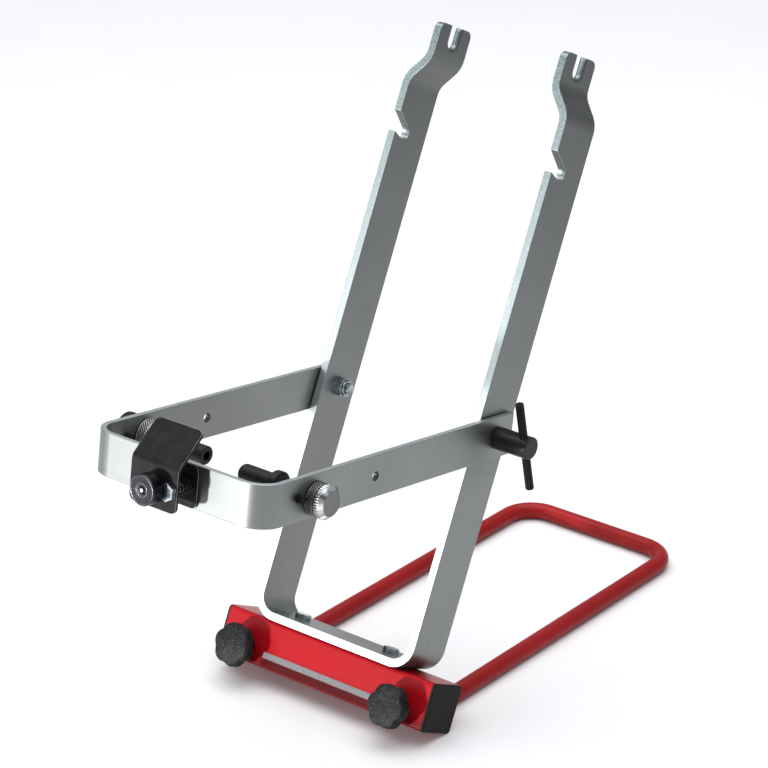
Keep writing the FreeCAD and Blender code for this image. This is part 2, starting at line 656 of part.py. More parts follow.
def build():
    """Every node's shape in the bench frame, before it is centred on its footprint."""
    shapes = {
        "base_beam": (STAND, base_beam()),
        "end_cap_left": (STAND, end_cap(-1)),
        "end_cap_right": (STAND, end_cap(1)),
        "stripe_decal": (STAND, stripe_decal()),
        "foot_tube": (BENCH, foot_tube()),
        "foot_inserts": (STAND, foot_inserts()),
        "clamp_stud_left": (STAND, clamp_stud(-1)),
        "clamp_stud_right": (STAND, clamp_stud(1)),
        "star_knob_left": (STAND, star_knob(-1)),
        "star_knob_right": (STAND, star_knob(1)),
        "fork": (STAND, fork()),
        "fork_bolts": (STAND, fork_bolts()),
        "fork_nuts": (STAND, fork_nuts()),
        "friction_washers": (STAND, friction_washers()),
        "pivot_washer": (STAND, pivot_washer()),
        "pivot_bolt": (STAND, pivot_bolt()),
        "pivot_lock_nut": (STAND, lock_nut()),
        "clamp_nut": (STAND, clamp_nut()),
        "handle_stud": (STAND, handle_stud()),
        "handle_barrel": (STAND, handle_barrel()),
        "cross_bar": (STAND, cross_bar()),
        "arm": (ARM, arm()),
        "gauge_pins": (ARM, gauge_pins()),
        "left_spindle": (ARM, left_spindle()),
        "left_disc": (ARM, left_disc()),
        "left_lock_ring": (ARM, left_lock_ring()),
        "left_lock_band": (ARM, left_lock_band()),
        "left_sleeve": (ARM, left_sleeve()),
        "right_spindle": (ARM, right_spindle()),
        "right_feeler": (ARM, right_feeler()),
        "right_knob_ring": (ARM, right_knob_ring()),
        "right_knob_cap": (ARM, right_knob_cap()),
        "radial_back_plate": (ARM, back_plate()),
        "radial_front_plate": (ARM, front_plate()),
        "radial_stud": (ARM, radial_stud()),
        "radial_guide_bolt": (ARM, guide_bolt()),
        "radial_screw_nut": (ARM, gauge_nut(GAUGE_SCREW, M5_RADIUS + RUNNING, 8)),
        "radial_guide_nut": (ARM, gauge_nut(GUIDE_BOLT, M6_RADIUS + 0.02, 10)),
        "radial_knob": (ARM, radial_knob()),
        "radial_spring": (ARM, radial_spring()),
    }
    placed = {}
    for name, (frame, shape) in shapes.items():
        moved = shape.copy()
        moved.Placement = frame.multiply(moved.Placement)
        placed[name] = moved
    return placed


nodes = build()
extent = Part.makeCompound(list(nodes.values())).optimalBoundingBox(False)
FOOTPRINT_SHIFT = Vector(-extent.Center.x, -extent.Center.y, -extent.ZMin)

os.makedirs("parts", exist_ok=True)
for name, shape in nodes.items():
    shape.translate(FOOTPRINT_SHIFT)
    shape.exportStep("parts/" + name + ".step")
print(len(nodes), "nodes", extent.XLength, extent.YLength, extent.ZLength, FOOTPRINT_SHIFT)
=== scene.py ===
import json
import math

import bpy
import bmesh
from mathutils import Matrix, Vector

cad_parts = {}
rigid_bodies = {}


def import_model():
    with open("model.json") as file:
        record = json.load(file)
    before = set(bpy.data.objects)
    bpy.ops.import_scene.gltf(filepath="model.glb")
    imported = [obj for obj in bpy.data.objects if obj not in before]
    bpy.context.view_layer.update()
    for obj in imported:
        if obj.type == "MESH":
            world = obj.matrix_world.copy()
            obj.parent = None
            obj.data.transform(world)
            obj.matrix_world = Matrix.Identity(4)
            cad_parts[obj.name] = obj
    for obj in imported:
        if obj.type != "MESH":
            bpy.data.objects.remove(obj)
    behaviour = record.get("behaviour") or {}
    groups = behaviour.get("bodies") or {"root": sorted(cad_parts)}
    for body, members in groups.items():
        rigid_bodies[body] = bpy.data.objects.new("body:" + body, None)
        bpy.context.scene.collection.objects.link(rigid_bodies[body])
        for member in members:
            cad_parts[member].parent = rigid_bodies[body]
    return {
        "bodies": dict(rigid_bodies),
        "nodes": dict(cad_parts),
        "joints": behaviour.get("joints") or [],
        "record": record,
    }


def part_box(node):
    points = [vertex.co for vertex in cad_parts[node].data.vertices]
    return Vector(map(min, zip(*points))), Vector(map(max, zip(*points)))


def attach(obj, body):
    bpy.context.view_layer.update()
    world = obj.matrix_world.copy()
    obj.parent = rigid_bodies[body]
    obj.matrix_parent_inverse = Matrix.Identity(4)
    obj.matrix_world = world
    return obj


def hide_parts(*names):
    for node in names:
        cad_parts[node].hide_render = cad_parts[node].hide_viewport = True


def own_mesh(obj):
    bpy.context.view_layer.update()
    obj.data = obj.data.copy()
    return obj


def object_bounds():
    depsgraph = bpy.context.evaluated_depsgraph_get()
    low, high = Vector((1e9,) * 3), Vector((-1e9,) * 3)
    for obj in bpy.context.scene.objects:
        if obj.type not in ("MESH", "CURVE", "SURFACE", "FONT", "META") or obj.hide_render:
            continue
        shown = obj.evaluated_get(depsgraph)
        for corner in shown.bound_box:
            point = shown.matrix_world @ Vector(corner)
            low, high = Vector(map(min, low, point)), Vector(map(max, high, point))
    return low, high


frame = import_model()
cad_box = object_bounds()

MM = 0.001
SPARE_HOLE_WALL = 3.32 * MM  # just outside the wall of the arm's spare holes
M8_RADIUS, M8_PITCH = 4 * MM, 1.25 * MM
M5_RADIUS, M5_PITCH = 2.5 * MM, 0.8 * MM
M8_BORE = 4.1 * MM
CAP_CHAMFER, CAP_TEETH = 3.0 * MM, 38

nodes = frame["nodes"]
joints = {j["name"]: j for j in frame["joints"]}

# Directions of the leaning stand and of the arm, taken from the record's joints.
ACROSS = Vector((1, 0, 0))
BACK = Vector(joints["foot_slide"]["axis"]).normalized()
UP = ACROSS.cross(BACK)
ARM_BACK = Vector(joints["radial_travel"]["axis"]).normalized()
ARM_UP = ACROSS.cross(ARM_BACK)
PIVOT = Vector(joints["arm_pivot"]["pos_m"])


# ---------------------------------------------------------------- materials

class Look:
    """A material built from nodes around one Principled shader; coordinates are the part's own, in metres."""

    def __init__(self, name, **values):
        self.material = bpy.data.materials.new(name)
        self.material.use_nodes = True
        self.tree = self.material.node_tree
        self.shader = self.tree.nodes["Principled BSDF"]
        for key, value in values.items():
            self.shader.inputs[key.replace("_", " ")].default_value = value
        self.place = self.add("ShaderNodeTexCoord").outputs["Object"]

    def add(self, kind, **settings):
        node = self.tree.nodes.new(kind)
        for key, value in settings.items():
            setattr(node, key, value)
        return node

    def link(self, source, target):
        """Joins a socket to an input, or writes a number or colour on it."""
        if isinstance(source, (int, float)):
            target.default_value = source
        elif isinstance(source, (tuple, list)):
            target.default_value = (*source, 1)[:len(target.default_value)]
        else:
            self.tree.links.new(source, target)

    def set(self, key, source):
        self.link(source, self.shader.inputs[key])

    def math(self, operation, a, b=0.0):
        node = self.add("ShaderNodeMath", operation=operation)
        self.link(a, node.inputs[0])
        self.link(b, node.inputs[1])
        return node.outputs[0]

    def along(self, direction, offset=0.0):
        """Distance along a direction, as a socket."""
        node = self.add("ShaderNodeVectorMath", operation="DOT_PRODUCT")
        self.link(self.place, node.inputs[0])
        node.inputs[1].default_value = direction
        return self.math("SUBTRACT", node.outputs["Value"], offset)

    def stretched(self, directions, scales):
        """Coordinates along three directions, each with its own scale."""
        node = self.add("ShaderNodeCombineXYZ")
        for socket, direction, scale in zip(node.inputs, directions, scales):
            self.link(self.math("MULTIPLY", self.along(direction), scale), socket)
        return node.outputs[0]

    def noise(self, scale, detail=4.0, rough=0.6, where=None):
        """Cloudy noise from 0 to 1, in the part's coordinates or where they are given."""
        node = self.add("ShaderNodeTexNoise")
        self.link(where or self.place, node.inputs["Vector"])
        node.inputs["Scale"].default_value = scale
        node.inputs["Detail"].default_value = detail
        node.inputs["Roughness"].default_value = rough
        return node.outputs["Fac"]

    def specks(self, scale, size, share):
        """1 inside sparse round specks, 0 elsewhere.

        size is their size as a part of a cell, and share is how many of the cells have one.
        """
        node = self.add("ShaderNodeTexVoronoi")
        self.link(self.place, node.inputs["Vector"])
        node.inputs["Scale"].default_value = scale
        spot = self.span(node.outputs["Distance"], size, size * 0.6)
        pick = self.add("ShaderNodeSeparateColor")
        self.link(node.outputs["Color"], pick.inputs[0])
        return self.math("MULTIPLY", spot, self.math("LESS_THAN", pick.outputs[0], share))

    def span(self, value, low, high, to_low=0.0, to_high=1.0):
        """value mapped from low..high to to_low..to_high, clamped."""
        node = self.add("ShaderNodeMapRange")
        for socket, v in zip(node.inputs, (value, low, high, to_low, to_high)):
            self.link(v, socket)
        return node.outputs[0]

    def mix(self, share, a, b):
        """Colour a where the share is 0, colour b where it is 1."""
        node = self.add("ShaderNodeMix", data_type="RGBA")
        self.link(share, node.inputs[0])
        self.link(a, node.inputs[6])
        self.link(b, node.inputs[7])
        return node.outputs[2]

    def facing(self, direction):
        """1 on faces square to the direction, 0 on faces along it."""
        node = self.add("ShaderNodeVectorMath", operation="DOT_PRODUCT")
        self.link(self.add("ShaderNodeTexCoord").outputs["Normal"], node.inputs[0])
        node.inputs[1].default_value = direction
        return self.math("ABSOLUTE", node.outputs["Value"])

    def edges(self, radius):
        """1 on edges and 0 on flat ground; also rounds the edges' shading."""
        bevel = self.add("ShaderNodeBevel", samples=6)
        bevel.inputs["Radius"].default_value = radius
        flat = self.add("ShaderNodeNewGeometry").outputs["Normal"]
        dot = self.add("ShaderNodeVectorMath", operation="DOT_PRODUCT")
        self.link(bevel.outputs[0], dot.inputs[0])
        self.link(flat, dot.inputs[1])
        self.round = bevel.outputs[0]
        return self.span(dot.outputs["Value"], 0.995, 0.90)

    def bump(self, height, depth, base=None):
        """Surface relief; depth is in metres for a height of 1."""
        node = self.add("ShaderNodeBump")
        node.inputs["Strength"].default_value = 1.0
        node.inputs["Distance"].default_value = depth
        self.link(height, node.inputs["Height"])
        if base is not None:
            self.link(base, node.inputs["Normal"])
        self.set("Normal", node.outputs[0])
        return node.outputs[0]


def from_axis(look, point, directions):
    """Distance from the line through point that is square to the two directions."""
    out = [look.along(d, point.dot(d)) for d in directions]
    return look.math("SQRT", look.math("ADD", *[look.math("MULTIPLY", v, v) for v in out]))


def aluminium(name, directions, wide, holes=(), painted_shade_span=None):
    """Satin flat bar, wide across one of the directions.

    Holes have walls darkened with painted shade. Painted shade darkens the bar over painted_shade_span, which
    is (low, high) along the third direction.
    """
    look = Look(name, Metallic=1.0)
    scales = [1500 if d is wide else 26 for d in directions]
    grain = look.noise(1.0, 4, 0.6, look.stretched(directions, scales))
    soft = look.noise(17, 4, 0.55)
    pits = look.specks(62, 0.055, 0.20)
    edge = look.edges(0.45 * MM)
    narrow_highlight = look.span(look.facing(wide), 0.6, 0.85)
    tone = look.mix(look.span(soft, 0.3, 0.7), (0.228, 0.238, 0.230), (0.260, 0.270, 0.262))
    tone = look.mix(look.span(grain, 0.30, 0.75, 0.0, 0.25), tone, (0.344, 0.354, 0.346))
    # Painted shade: on a bar wide across another direction, the faces square to the second direction (the
    # arm's front face) are darkened.
    if wide is not directions[1]:
        cross = look.span(look.facing(directions[1]), 0.75, 0.97, 0.0, 0.26)
        tone = look.mix(cross, tone, (0.02, 0.022, 0.022))
    # Painted highlight: the narrow faces take a much lighter tone than the broad faces.
    side = (0.50, 0.54, 0.545)
    # Painted shade: towards the bar's upper end the broad faces darken and the narrow faces go from light to
    # dark.
    if painted_shade_span is not None:
        painted_shade_up = look.span(look.along(directions[2]), painted_shade_span[0], painted_shade_span[1])
        tone = look.mix(look.math("MULTIPLY", painted_shade_up, 0.52), tone, (0.02, 0.022, 0.022))
        side = look.mix(painted_shade_up, (0.58, 0.64, 0.64), (0.19, 0.24, 0.24))
        mottle = look.math("MULTIPLY", look.span(look.noise(900, 2), 0.45, 0.65), 0.35)
        side = look.mix(mottle, side, (0.62, 0.70, 0.70))
    tone = look.mix(narrow_highlight, tone, side)
    tone = look.mix(look.math("MULTIPLY", pits, 0.8), tone, (0.05, 0.05, 0.05))
    # Painted highlight: a light line along the bar's edges.
    tone = look.mix(look.math("MULTIPLY", edge, 0.7), tone, (0.80, 0.84, 0.85))
    # Painted shade on the walls of the holes.
    for hole in holes:
        away = from_axis(look, hole, directions[1:])
        inside = look.span(away, SPARE_HOLE_WALL + 0.1 * MM, SPARE_HOLE_WALL)
        tone = look.mix(inside, tone, (0.05, 0.05, 0.05))
    look.set("Base Color", tone)
    look.set("Roughness", look.span(grain, 0.25, 0.75, 0.38, 0.46))
    rough = look.bump(grain, 0.004 * MM, look.round)
    look.bump(look.math("SUBTRACT", 1.0, pits), 0.05 * MM, rough)
    return look.material


def red_paint(name, tint, deep, chips, top=None):
    """Paint with a faint orange peel, dust specks and chipped spots.

    Painted shade darkens it towards the lower edge of a beam whose top is given.
    """
    look = Look(name, Specular_IOR_Level=0.12)
    peel = look.noise(420, 2, 0.5)
    cloud = look.noise(18, 4, 0.6)
    dust = look.specks(260, 0.09, 0.10)
    nicks = look.specks(62, 0.075, chips)
    edge = look.edges(0.8 * MM)
    worn = look.math("MULTIPLY", edge, look.span(look.noise(150, 5, 0.7), 0.60, 0.68))
    tone = look.mix(look.span(cloud, 0.3, 0.7), tint, deep)
    tone = look.mix(look.math("MULTIPLY", dust, 0.5), tone, (0.35, 0.10, 0.09))
    tone = look.mix(nicks, tone, (0.10, 0.006, 0.008))
    tone = look.mix(worn, tone, (0.75, 0.28, 0.14))
    # Painted shade: darker towards the beam's lower edge.
    if top is not None:
        low = look.span(look.along(UP, top), -19 * MM, -33 * MM, 0.0, 0.85)
        tone = look.mix(low, tone, (0.075, 0.003, 0.004))
    look.set("Base Color", tone)
    look.set("Roughness", look.span(cloud, 0.2, 0.8, 0.22, 0.34))
    soft = look.bump(peel, 0.010 * MM, look.round)
    look.bump(look.math("SUBTRACT", 1.0, nicks), 0.25 * MM, soft)
    return look.material


def plastic(name, tint, light, grit, depth, rough, shine=0.12):
    """Moulded black plastic with a spark-eroded grain, painted glints on the grain's peaks and rubbed edges.
    """
    look = Look(name, Specular_IOR_Level=shine)
    grain = look.noise(grit, 3, 0.65)
    haze = look.noise(60, 4, 0.6)
    edge = look.edges(0.5 * MM)
    # Painted glints: lighter specks on the grain's peaks.
    painted_glint = look.span(grain, 0.585, 0.70)
    tone = look.mix(look.math("MULTIPLY", painted_glint, 0.8), tint, light)
    tone = look.mix(look.math("MULTIPLY", edge, 0.25), tone, light)
    tone = look.mix(look.span(haze, 0.5, 0.8, 0.0, 0.2), tone, light)
    look.set("Base Color", tone)
    look.set("Roughness", look.span(haze, 0.25, 0.75, rough, rough + 0.16))
    look.bump(grain, depth, look.round)
    return look.material


def scuffed_cap():
    """End cap: brown-black plastic with crossing rub marks."""
    look = Look("cap_plastic", Specular_IOR_Level=0.08)
    grain = look.noise(900, 3, 0.6)
    rubs = look.noise(1.0, 5, 0.7, look.stretched((ACROSS, BACK + UP, BACK - UP), (60, 45, 420)))
    cross = look.noise(1.0, 5, 0.7, look.stretched((ACROSS, BACK + UP, BACK - UP), (60, 380, 50)))
    marks = look.math("MAXIMUM", look.span(rubs, 0.60, 0.72), look.span(cross, 0.62, 0.74))
    edge = look.edges(0.7 * MM)
    tone = look.mix(look.math("MULTIPLY", marks, 0.5), (0.010, 0.009, 0.007), (0.050, 0.045, 0.038))
    tone = look.mix(look.math("MULTIPLY", edge, 0.5), tone, (0.10, 0.092, 0.08))
    look.set("Base Color", tone)
    look.set("Roughness", look.span(marks, 0.0, 1.0, 0.42, 0.62))
    look.bump(look.math("ADD", grain, look.math("MULTIPLY", marks, -0.6)), 0.03 * MM, look.round)
    return look.material


def black_sheet(name, shine=0.08, spot=None):
    """Black oxide or thin paint on steel, bright on its rubbed edges.

    It is bright inside a spot too, which is (point, directions, radius) of a cylinder.
    """
    look = Look(name, Specular_IOR_Level=shine)
    mottle = look.noise(110, 5, 0.7)
    fine = look.noise(1500, 2, 0.5)
    dust = look.specks(420, 0.10, 0.12)
    edge = look.edges(0.30 * MM)
    rub = look.math("MULTIPLY", edge, look.span(mottle, 0.22, 0.44))
    tone = look.mix(look.span(mottle, 0.35, 0.75), (0.007, 0.007, 0.008), (0.016, 0.016, 0.018))
    tone = look.mix(look.math("MULTIPLY", dust, 0.6), tone, (0.08, 0.08, 0.085))
    if spot is not None:
        point, directions, radius = spot
        centre = look.span(from_axis(look, point, directions), radius, radius * 0.85)
        rub = look.math("MAXIMUM", rub, centre)
    tone = look.mix(rub, tone, (0.60, 0.62, 0.64))
    look.set("Base Color", tone)
    look.set("Metallic", look.math("MULTIPLY", rub, 0.9))
    look.set("Roughness", look.span(mottle, 0.2, 0.8, 0.3, 0.5))
    look.bump(look.math("ADD", fine, mottle), 0.008 * MM, look.round)
    return look.material


def knurl_steel(name, point, radius, groove, tip):
    """Knurled metal: dark in the grooves, rubbed bright on the points."""
    look = Look(name, Specular_IOR_Level=0.4)
    away = from_axis(look, point, (BACK, UP))
    worn = look.noise(700, 3, 0.6)
    depth = 0.38 * MM
    high = look.math("SUBTRACT", away, look.span(worn, 0.3, 0.7, 0.0, depth * 0.25))
    share = look.span(high, radius - depth * 0.62, radius - depth * 0.04)
    look.set("Base Color", look.mix(share, groove, tip))
    look.set("Metallic", share)
    look.set("Roughness", look.span(worn, 0.3, 0.7, 0.24, 0.40))
    look.bump(worn, 0.01 * MM)
    return look.material


def plated(name, tint, shade):
    """Plated or bright steel with cloudy plating and fine machining lines across the axis."""
    look = Look(name, Metallic=1.0)
    cloud = look.noise(240, 4, 0.6)
    lines = look.noise(1.0, 4, 0.6, look.stretched((ACROSS, ARM_BACK, ARM_UP), (700, 90, 90)))
    edge = look.edges(0.25 * MM)
    tone = look.mix(look.span(cloud, 0.35, 0.65), tint, shade)
    tone = look.mix(look.math("MULTIPLY", edge, 0.6), tone, (0.92, 0.94, 0.96))
    look.set("Base Color", tone)
    look.set("Roughness", look.span(cloud, 0.2, 0.8, 0.12, 0.26))
    look.bump(lines, 0.01 * MM, look.round)
    return look.material


def turned_face(name, point, directions, tint, light, worn, rim=None):
    """Metal with a lathe's rings around an axis, worn on its edges.

    rim is (radius, outer, teeth): a chamfer between the two radii with bright and dark streaks of painted
    reflection, and a straight knurl on the outer.
    """
    look = Look(name, Metallic=1.0)
    node = look.add("ShaderNodeCombineXYZ")
    away = from_axis(look, point, directions)
    look.link(look.math("MULTIPLY", away, 2600), node.inputs[0])
    rings = look.noise(1.0, 3, 0.6, node.outputs[0])
    cloud = look.noise(300, 4, 0.6)
    edge = look.edges(0.3 * MM)
    tone = look.mix(look.span(rings, 0.3, 0.7), tint, light)
    tone = look.mix(look.span(cloud, 0.55, 0.8, 0.0, 0.5), tone, [v * 0.6 for v in tint])
    if rim is not None:
        radius, outer, teeth = rim
        angle = look.math("ARCTAN2", *[look.along(d, point.dot(d)) for d in directions])
        ridge = look.math("SINE", look.math("MULTIPLY", angle, teeth))
        ridge = look.span(ridge, -0.5, 0.5, 0.0, 0.9)
        ridge = look.math("MULTIPLY", ridge, look.span(cloud, 0.3, 0.6, 0.3, 1.0))
        # Painted reflection: bright and dark streaks around the chamfer.
        streak = look.add("ShaderNodeCombineXYZ")
        look.link(look.math("MULTIPLY", angle, 1.3), streak.inputs[0])
        painted_reflection = look.span(look.noise(1.0, 1, 0.5, streak.outputs[0]), 0.40, 0.58, 0.15, 1.0)
        rim_share = look.mix(look.span(away, outer - 0.3 * MM, outer - 0.1 * MM), painted_reflection, ridge)
        rim_tone = look.mix(rim_share, (0.05, 0.05, 0.05), worn)
        tone = look.mix(look.span(away, radius, radius + 0.2 * MM), tone, rim_tone)
    tone = look.mix(edge, tone, worn)
    look.set("Base Color", tone)
    look.set("Roughness", look.span(cloud, 0.2, 0.8, 0.22, 0.38))
    look.bump(rings, 0.02 * MM, look.round)
    return look.material


def stripe(low):
    """Printed band: a grey stripe above a dark red one, both a little worn."""
    look = Look("stripe_print", Specular_IOR_Level=0.06)
    border = 5.5 * MM
    height = look.along(UP, low)
    grain = look.noise(700, 3, 0.7)
    speck = look.specks(500, 0.2, 0.25)
    grey = look.mix(look.span(grain, 0.4, 0.65), (0.150, 0.145, 0.150), (0.200, 0.195, 0.200))
    grey = look.mix(look.math("MULTIPLY", speck, 0.5), grey, (0.10, 0.07, 0.07))
    dark = look.mix(look.span(grain, 0.3, 0.7), (0.050, 0.002, 0.003), (0.075, 0.003, 0.004))
    ragged = look.math("ADD", height, look.span(look.noise(900, 2), 0.0, 1.0, -0.12 * MM, 0.12 * MM))
    tone = look.mix(look.span(ragged, border - 0.05 * MM, border + 0.10 * MM), dark, grey)
    look.set("Base Color", tone)
    look.set("Roughness", look.span(grain, 0.2, 0.8, 0.30, 0.5))
    look.bump(grain, 0.01 * MM)
    return look.material


def pale_floor():
    """Matt near-white floor."""
    look = Look("pale_floor", Roughness=0.75)
    cloud = look.noise(3.0, 4, 0.6)
    look.set("Base Color", look.mix(look.span(cloud, 0.3, 0.7), (0.86, 0.86, 0.87), (0.89, 0.89, 0.895)))
    look.set("Roughness", look.span(look.noise(40, 3), 0.3, 0.7, 0.7, 0.85))
    return look.material


# ---------------------------------------------------------------- shapes

def mesh_object(name, vertices, faces):
    """Smooth-shaded object with its face normals outwards."""
    mesh = bpy.data.meshes.new(name)
    mesh.from_pydata(vertices, [], faces)
    mesh.validate()
    repair = bmesh.new()
    repair.from_mesh(mesh)
    bmesh.ops.recalc_face_normals(repair, faces=repair.faces)
    repair.to_mesh(mesh)
    repair.free()
    mesh.shade_smooth()
    thing = bpy.data.objects.new(name, mesh)
    bpy.context.scene.collection.objects.link(thing)
    return thing


def turned(name, start, axis, profile, around=96, relief=None, closed=False):
    """Surface of revolution. profile is a list of (distance along the axis, radius).

    relief(distance, angle, radius) is added to the radius. A closed profile joins its end to its start.
    """
    axis = Vector(axis).normalized()
    side = axis.orthogonal().normalized()
    if abs(axis.x) < 0.5:
        side = (ACROSS - axis * axis.x).normalized()
    other = axis.cross(side)
    vertices = []
    for distance, radius in profile:
        for i in range(around):
            angle = 2 * math.pi * i / around
            r = radius + (relief(distance, angle, radius) if relief and radius > 0 else 0)
            spoke = side * math.cos(angle) + other * math.sin(angle)
            vertices.append(start + axis * distance + spoke * max(r, 0.00002))
    faces = []
    rows = len(profile)
    for j in range(rows if closed else rows - 1):
        k = (j + 1) % rows
        for i in range(around):
            n = (i + 1) % around
            faces.append((j * around + i, j * around + n, k * around + n, k * around + i))
    if not closed:
        faces.append(tuple(range(around)))
        faces.append(tuple(range((rows - 1) * around, rows * around)))
    return mesh_object(name, vertices, faces)


def steps(low, high, count):
    """count + 1 even steps from low to high."""
    return [low + (high - low) * i / count for i in range(count + 1)]


def wave(phase):
    """Triangle wave from 0 to 1 and back over each whole number."""
    return 1 - abs(2 * (phase % 1.0) - 1)


def thread(name, start, axis, length, radius, pitch):
    """Rod with a helical V thread and chamfered ends."""
    depth, chamfer, lead = 0.44 * pitch, 0.4 * MM, 0.3 * MM

    def relief(distance, angle, _):
        fade = max(0, min(1, distance / pitch, (length - distance) / pitch))
        turn = distance / pitch - angle / (2 * math.pi)
        return -depth * fade * (1 - wave(turn)) ** 1.3

    profile = [(0, 0), (0, radius - chamfer)]
    profile += [(d, radius) for d in steps(lead, length - lead, int(length / pitch * 10))]
    profile += [(length, radius - chamfer), (length, 0)]
    return turned(name, start, axis, profile, 40, relief)


def knurled(name, start, length, radius):
    """Ring about an X axis with a diamond knurl on its rim."""
    teeth, depth, round_over = 34, 0.45 * MM, 0.5 * MM
    pitch = 2 * math.pi * radius / teeth

    def relief(distance, angle, r):
        if r < radius * 0.99:
            return 0
        inset = min(distance, length - distance)
        fade = max(0, min(1, (inset - round_over) / (0.5 * MM)))
        turn = angle * teeth / (2 * math.pi)
        one = wave(turn + distance / pitch)
        two = wave(turn - distance / pitch)
        return -depth * fade * (1 - min(1, 1.5 * min(one, two)))

    rows = max(12, int(length / pitch * 8))
    corner = [(round_over * (1 - math.cos(a)), radius - round_over * (1 - math.sin(a))) for a in (0.5, 1.0)]
    profile = [(0, M8_BORE), (0, radius - round_over)] + corner
    profile += [(d, radius) for d in steps(round_over, length - round_over, rows)]
    profile += [(length - d, r) for d, r in reversed(corner)]
    profile += [(length, radius - round_over), (length, M8_BORE)]
    return turned(name, start, ACROSS, profile, teeth * 6, relief, closed=True)


def star_knob(name, axis_point, axis, head_back, hub_radius, hub_back, lobe_angle):
    """Soft-lobed knob: domed grainy head on a round hub. Distances run from the front face."""
    lobes, valley, radius = 6, 2.0 * MM, 15.8 * MM
    dome, shoulder, back_round = 0.9 * MM, 2.6 * MM, 1.2 * MM
    side_start = 4.2 * MM

    def relief(distance, angle, r):
        if distance > head_back:
            return 0
        dent = 1 - math.sqrt((math.cos(lobes / 2 * (angle + lobe_angle)) ** 2 + 0.03) / 1.03)
        return -valley * dent * (r / radius) ** 3

    profile = [(dome * (s * s), radius * 0.80 * s) for s in steps(0, 1, 14)]
    profile += [(dome + shoulder * (1 - math.cos(a)), radius * 0.80 + radius * 0.20 * math.sin(a))
                for a in steps(0.15, math.pi / 2, 8)]
    profile += [(d, radius) for d in steps(side_start, head_back - back_round, 5)]
    profile += [(head_back - back_round + back_round * math.sin(a), radius - back_round * (1 - math.cos(a)))
                for a in steps(0.3, math.pi / 2, 4)]
    profile += [(head_back, hub_radius + 1.2 * MM), (head_back + 0.5 * MM, hub_radius)]
    profile += [(hub_back, hub_radius), (hub_back, 0)]
    return turned(name, axis_point, axis, profile, 168, relief)


def coil(name, start, axis, length, radius, wire, turns):
    """Compression spring with closed ends; wire is the radius of its wire."""
    axis = Vector(axis).normalized()
    side = ACROSS
    other = axis.cross(side)
    vertices, faces = [], []
    steps_per_turn, ring = 28, 10
    count = int(turns * steps_per_turn)
    for i in range(count + 1):
        t = i / count
        angle = 2 * math.pi * turns * t
        end = 1.0 / turns
        climb = min(max((t - end * 0.6) / (1 - end * 1.2), 0), 1)
        spoke = side * math.cos(angle) + other * math.sin(angle)
        centre = start + axis * (wire + climb * (length - 2 * wire)) + spoke * radius
        for k in range(ring):
            a = 2 * math.pi * k / ring
            vertices.append(centre + (spoke * math.cos(a) + axis * math.sin(a)) * wire)
    for i in range(count):
        for k in range(ring):
            n = (k + 1) % ring
            faces.append((i * ring + k, i * ring + n, (i + 1) * ring + n, (i + 1) * ring + k))
    faces.append(tuple(range(ring)))
    faces.append(tuple(range(count * ring, (count + 1) * ring)))
    return mesh_object(name, vertices, faces)


def creased(thing, angle):
    """Keeps the edges that turn by more than the angle crisp."""
    work = bmesh.new()
    work.from_mesh(thing.data)
    for edge in work.edges:
        if edge.is_manifold and edge.calc_face_angle() > angle:
            edge.smooth = False
    work.to_mesh(thing.data)
    work.free()
    return thing


def knob_cap(name, start, length, radius):
    """Neck, knurled band and chamfered turned face."""
    chamfer = CAP_CHAMFER
    face = radius - chamfer

    def relief(distance, angle, r):
        if r < radius * 0.995:
            return 0
        inset = min(distance - 1.0 * MM, length - chamfer - distance)
        fade = max(0, min(1, inset / (0.35 * MM)))
        return -0.28 * MM * fade * (1 - min(1, 1.6 * wave(angle * CAP_TEETH / (2 * math.pi))))

    neck = radius - 1.2 * MM
    profile = [(0, M8_BORE), (0, neck), (0.9 * MM, neck), (0.95 * MM, radius - 0.2 * MM)]
    profile += [(d, radius) for d in steps(1.15 * MM, length - chamfer - 0.1 * MM, 14)]
    profile += [(length - chamfer * (1 - s), radius - chamfer * s) for s in (0.05, 0.5, 0.95)]
    profile += [(length, face - 0.3 * MM)]
    profile += [(length - 0.25 * MM * (1 - (s / face) ** 2), s) for s in steps(face - 0.6 * MM, 0.4 * MM, 12)]
    profile += [(length - 0.6 * MM, 0)]
    return creased(turned(name, start, ACROSS, profile, CAP_TEETH * 6, relief), math.radians(30))


def dial(name, start, axis, length):
    """Round knob: a face with a shallow ring groove inside a rim, and a smaller hub behind."""
    radius, head, hub_radius, bore = 10.4 * MM, 9 * MM, 5 * MM, 2.6 * MM
    profile = [(1.2 * MM, bore), (0.35 * MM, bore + 0.3 * MM), (0.25 * MM, bore + 1.6 * MM)]
    profile += [(0.55 * MM, bore + 1.8 * MM), (0.55 * MM, bore + 2.0 * MM), (0.25 * MM, bore + 2.2 * MM)]
    profile += [(0.20 * MM, radius - 1.3 * MM), (0.02 * MM, radius - 1.0 * MM), (0, radius - 0.7 * MM)]
    profile += [(0.6 * MM, radius), (head - 0.7 * MM, radius), (head, radius - 0.7 * MM)]
    profile += [(head, hub_radius + 0.3 * MM), (head + 0.3 * MM, hub_radius)]
    profile += [(length, hub_radius), (length, bore)]
    return creased(turned(name, start, axis, profile, 120, closed=True), math.radians(25))


def stand_in(thing, body, node, material):
    """thing takes a CAD node's place, on its body and with its finish."""
    thing.data.materials.append(material)
    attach(thing, body)
    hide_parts(node)
    return thing


def middle(node):
    """Middle of a node's box."""
    low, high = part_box(node)
    return (low + high) / 2


def x_start(node):
    """A node that is round about an X axis: the axis point at its low end, its length and its radius."""
    low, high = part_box(node)
    centre = (low + high) / 2
    return Vector((low.x, centre.y, centre.z)), high.x - low.x, (high.z - low.z) / 2


def reach(node, axis, point):
    """Where a node starts and ends along an axis, as distances from a point."""
    distances = [axis.dot(v.co - point) for v in nodes[node].data.vertices]
    return min(distances), max(distances)
